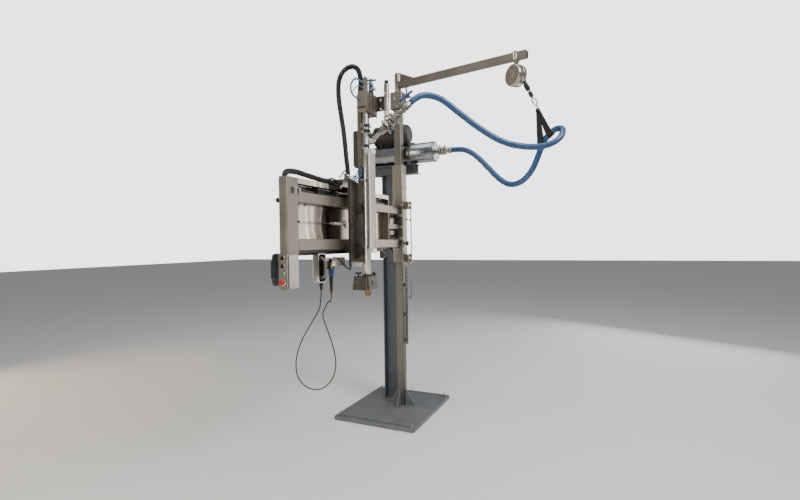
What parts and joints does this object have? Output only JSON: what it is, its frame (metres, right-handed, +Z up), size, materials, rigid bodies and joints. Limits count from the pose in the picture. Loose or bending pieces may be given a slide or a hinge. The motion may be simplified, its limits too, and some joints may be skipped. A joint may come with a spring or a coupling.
{
  "type": "lance filling machine with piston metering cylinder",
  "caption": "Free-standing container filling machine: lance on a sliding carriage and height-adjustable beam, fed through a hose from a piston metering cylinder.",
  "frame": {"origin": "centre of the stainless column where its base plate meets the floor", "axes": "+Z up; the cross-beam runs from the column towards the operator along -Y; +X is to the operator's right"},
  "size_m": [2.3601, 2.483, 3.638],
  "materials": {
    "stainless": "brushed stainless",
    "polished_stainless": "polished stainless",
    "column_steel": "dull stainless",
    "stand_paint": "satin blue-grey paint",
    "base_paint": "satin grey paint",
    "motor_paint": "satin dark paint",
    "aluminium_profile": "anodised",
    "dark_steel": "dark satin",
    "black_plastic": "matte black",
    "black_rubber": "matte",
    "red_plastic": "gloss red",
    "green_plastic": "gloss green",
    "nylon": "natural nylon",
    "brass": "machined brass",
    "cast_dark": "dark cast",
    "blue_hose": "satin blue",
    "conduit_grey": "ribbed dark conduit",
    "lever_blue": "dark blue sleeve",
    "sensor_blue": "blue"
  },
  "bodies": {
    "stand": {"base_plate": "base_paint", "column": "column_steel", "lift_rack": "stainless", "stand_post": "stand_paint", "stand_beam": "stand_paint", "metering_barrel": "polished_stainless", "barrel_heads": "polished_stainless", "outlet_fitting": "polished_stainless", "drive_case": "motor_paint", "drive_motor": "motor_paint", "jib_housing": "stainless", "drive_belt": "black_rubber", "hose_lower": "blue_hose"},
    "piston": {"piston": "polished_stainless", "piston_seals": "nylon", "screw_nut": "dark_steel"},
    "screw": {"ball_screw": "dark_steel", "screw_pulley": "aluminium_profile"},
    "motor_shaft": {"motor_pulley": "aluminium_profile"},
    "sleeve": {"sleeve": "stainless", "slide_pads": "nylon", "sleeve_fittings": "stainless", "beam_rails": "stainless", "beam_end_box": "stainless", "beam_covers": "stainless", "guide_rails": "dark_steel", "tension_wire": "stainless", "control_box": "stainless", "touch_panel": "black_plastic", "cable_bundle": "black_rubber"},
    "lock": {"lock_knob": "black_plastic"},
    "stop": {"stop_button": "red_plastic"},
    "start": {"start_button": "green_plastic"},
    "selector_a": {"selector_low": "black_plastic"},
    "selector_b": {"selector_high": "black_plastic"},
    "carriage": {"carriage_plate": "stainless", "carriage_saddle": "stainless", "guide_blocks": "dark_steel", "mast_guides": "dark_steel", "handle_box": "stainless", "handle_grip": "black_plastic", "level_sensor": "sensor_blue", "conduit": "conduit_grey", "pendant_cable": "black_rubber"},
    "mast": {"mast_profile": "aluminium_profile", "mast_head": "stainless", "lance_tube": "polished_stainless", "lance_clamps": "stainless", "lance_actuator": "aluminium_profile", "inlet_pipe": "polished_stainless", "fill_head": "cast_dark", "fill_nozzle": "brass", "hose_upper": "blue_hose"},
    "stem": {"valve_stem": "polished_stainless"},
    "lever": {"valve_lever": "lever_blue"},
    "vent": {"vent_handle": "black_plastic"},
    "wing": {"head_wing": "stainless"},
    "knob": {"head_knob": "black_plastic"},
    "jib": {"jib_boom": "stainless"},
    "balancer": {"balancer": "dark_steel"}
  },
  "joints": [
    {"name": "screw_turn", "type": "hinge", "parent": "stand", "child": "screw", "pos_m": [-0.5, 0.195, 2.8], "axis": [1, 0, 0], "range_deg": [-5760, 0]},
    {"name": "piston_stroke", "type": "slide", "parent": "stand", "child": "piston", "axis": [1, 0, 0], "range_m": [-0.3201, 0]},
    {"name": "motor_turn", "type": "hinge", "parent": "stand", "child": "motor_shaft", "pos_m": [-0.5, 0.195, 3.023], "axis": [1, 0, 0], "range_deg": [-11521, 1]},
    {"name": "lift_height", "type": "slide", "parent": "stand", "child": "sleeve", "axis": [0, 0, 1], "range_m": [-0.15, 0.15], "deforming": ["hose_upper", "hose_lower"]},
    {"name": "lock_turn", "type": "hinge", "parent": "sleeve", "child": "lock", "pos_m": [0.07, 0, 1.798], "axis": [1, 0, 0], "range_deg": [0, 360]},
    {"name": "stop_press", "type": "slide", "parent": "sleeve", "child": "stop", "axis": [0, 1, 0], "range_m": [0, 0.005], "stiffness_N_per_m": 600},
    {"name": "start_press", "type": "slide", "parent": "sleeve", "child": "start", "axis": [0, 1, 0], "range_m": [0, 0.005], "stiffness_N_per_m": 600},
    {"name": "selector_low_turn", "type": "hinge", "parent": "sleeve", "child": "selector_a", "pos_m": [-0.002, -1.975, 1.652], "axis": [0, 1, 0], "range_deg": [-45, 45]},
    {"name": "selector_high_turn", "type": "hinge", "parent": "sleeve", "child": "selector_b", "pos_m": [-0.002, -1.975, 1.708], "axis": [0, 1, 0], "range_deg": [-45, 45]},
    {"name": "carriage_travel", "type": "slide", "parent": "sleeve", "child": "carriage", "axis": [0, 1, 0], "range_m": [-0.18, 0.5], "deforming": ["hose_upper", "cable_bundle"]},
    {"name": "mast_stroke", "type": "slide", "parent": "carriage", "child": "mast", "axis": [0, 0, 1], "range_m": [-1, 0.1], "deforming": ["hose_upper", "conduit"]},
    {"name": "stem_stroke", "type": "slide", "parent": "mast", "child": "stem", "axis": [0, 0, -1], "range_m": [0, 0.025]},
    {"name": "lever_turn", "type": "hinge", "parent": "mast", "child": "lever", "pos_m": [0.41525, -0.87176, 2.96769], "axis": [-0.5126, -0.4301, 0.7431], "range_deg": [0, 90]},
    {"name": "vent_turn", "type": "hinge", "parent": "mast", "child": "vent", "pos_m": [0.206, -1.01, 3.21], "axis": [0, 0, 1], "range_deg": [0, 90]},
    {"name": "wing_turn", "type": "hinge", "parent": "mast", "child": "wing", "pos_m": [0.114, -1.12, 1.53], "axis": [0, 0, 1], "range_deg": [0, 360]},
    {"name": "head_knob_turn", "type": "hinge", "parent": "mast", "child": "knob", "pos_m": [0.212, -1.018, 1.53], "axis": [0, 0, 1], "range_deg": [0, 360]},
    {"name": "jib_swing", "type": "hinge", "parent": "stand", "child": "jib", "pos_m": [0, 0, 3.45], "axis": [0, 0, 1], "range_deg": [-35, 60], "deforming": ["hose_upper", "hose_lower"]},
    {"name": "balancer_swing", "type": "hinge", "parent": "jib", "child": "balancer", "pos_m": [1.30536, -0.20908, 3.46], "axis": [0.1582, 0.9874, 0], "range_deg": [-8, 8], "deforming": ["hose_upper"]}
  ],
  "couplings": [
    {"joint": "piston_stroke", "follows": "screw_turn", "m_per_rad": 0.0031831},
    {"joint": "motor_turn", "follows": "screw_turn", "ratio": 2}
  ]
}
